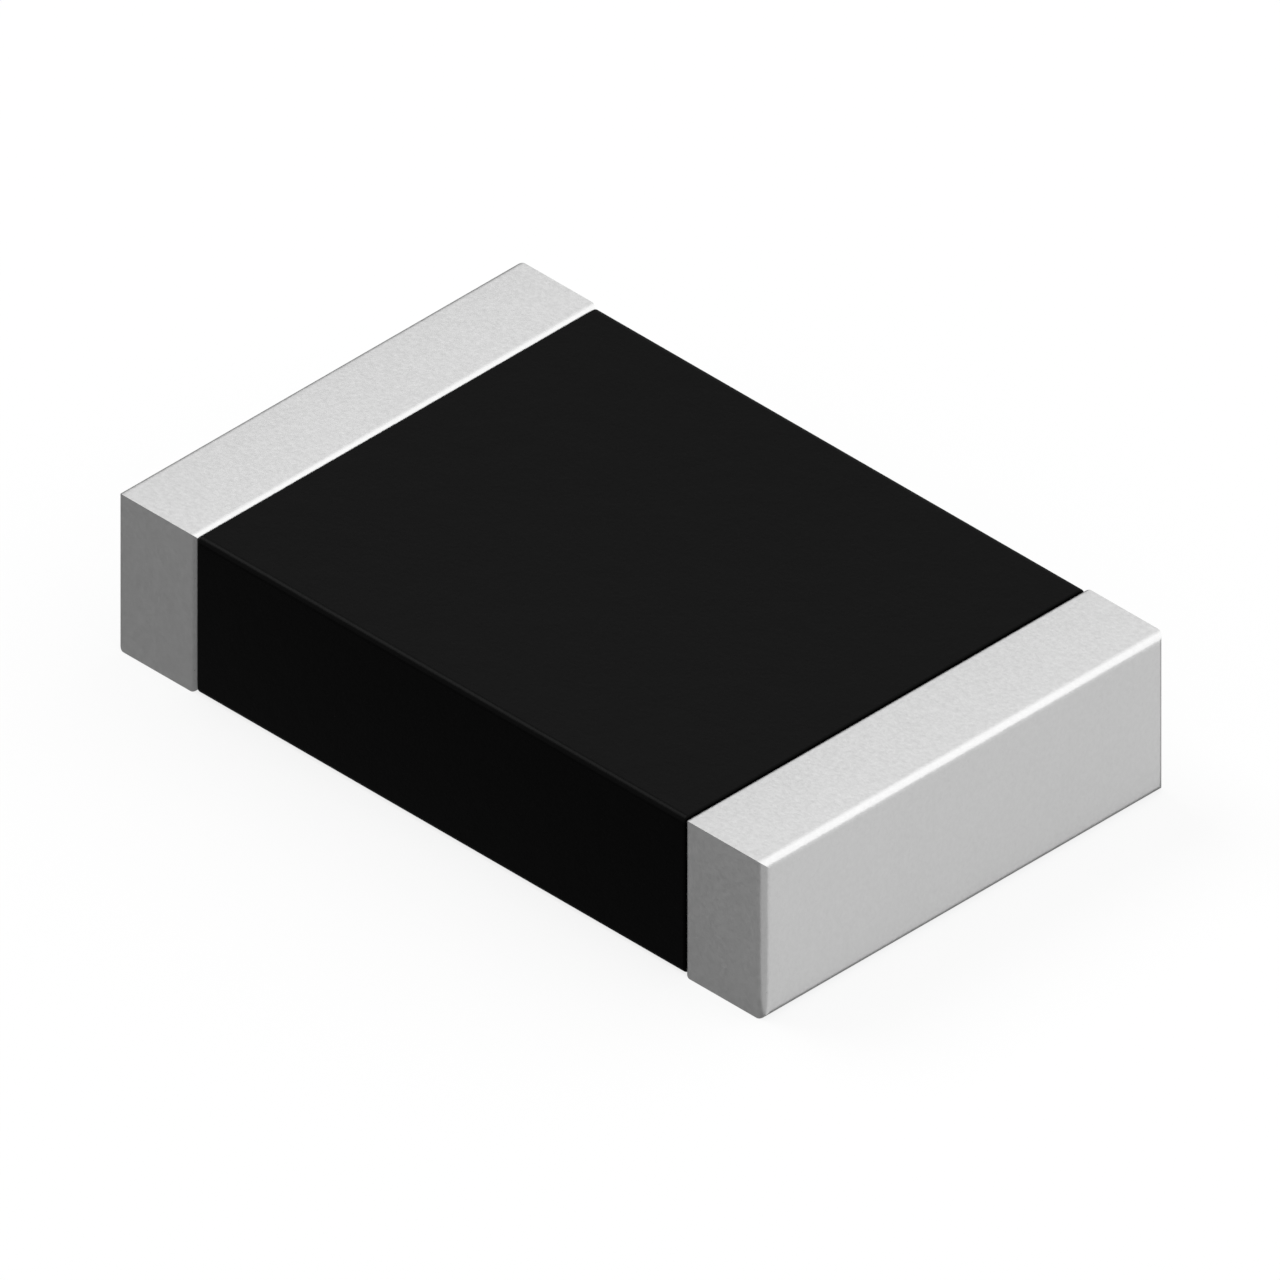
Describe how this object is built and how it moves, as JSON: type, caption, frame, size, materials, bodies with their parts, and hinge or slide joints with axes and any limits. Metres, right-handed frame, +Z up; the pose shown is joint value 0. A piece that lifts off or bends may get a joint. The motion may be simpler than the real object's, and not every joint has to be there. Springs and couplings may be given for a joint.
{
  "type": "smd chip resistor",
  "caption": "Flat rectangular surface-mount resistor: a trimmed film on a ceramic chip, under a black epoxy coat between plated metal end caps that solder to a board.",
  "frame": {"origin": "on the board plane, under the middle of the chip", "axes": "+X along the chip from the left end cap to the right one, +Y across it, +Z up from the board"},
  "size_m": [0.002, 0.0012, 0.0004],
  "materials": {
    "alumina": "matte",
    "resistor_glass": "satin",
    "cover_glass": "gloss",
    "black_epoxy": "matte",
    "printed_silver": "satin",
    "dipped_silver": "matte",
    "plated_nickel": "satin",
    "matte_tin": "satin"
  },
  "bodies": {
    "root": {"ceramic_substrate": "alumina", "resistor_film": "resistor_glass", "glass_film": "cover_glass", "epoxy_coat": "black_epoxy", "left_top_electrode": "printed_silver", "right_top_electrode": "printed_silver", "left_bottom_electrode": "printed_silver", "right_bottom_electrode": "printed_silver", "left_silver_cap": "dipped_silver", "right_silver_cap": "dipped_silver", "left_nickel_barrier": "plated_nickel", "right_nickel_barrier": "plated_nickel", "left_tin_plating": "matte_tin", "right_tin_plating": "matte_tin"}
  },
  "joints": []
}
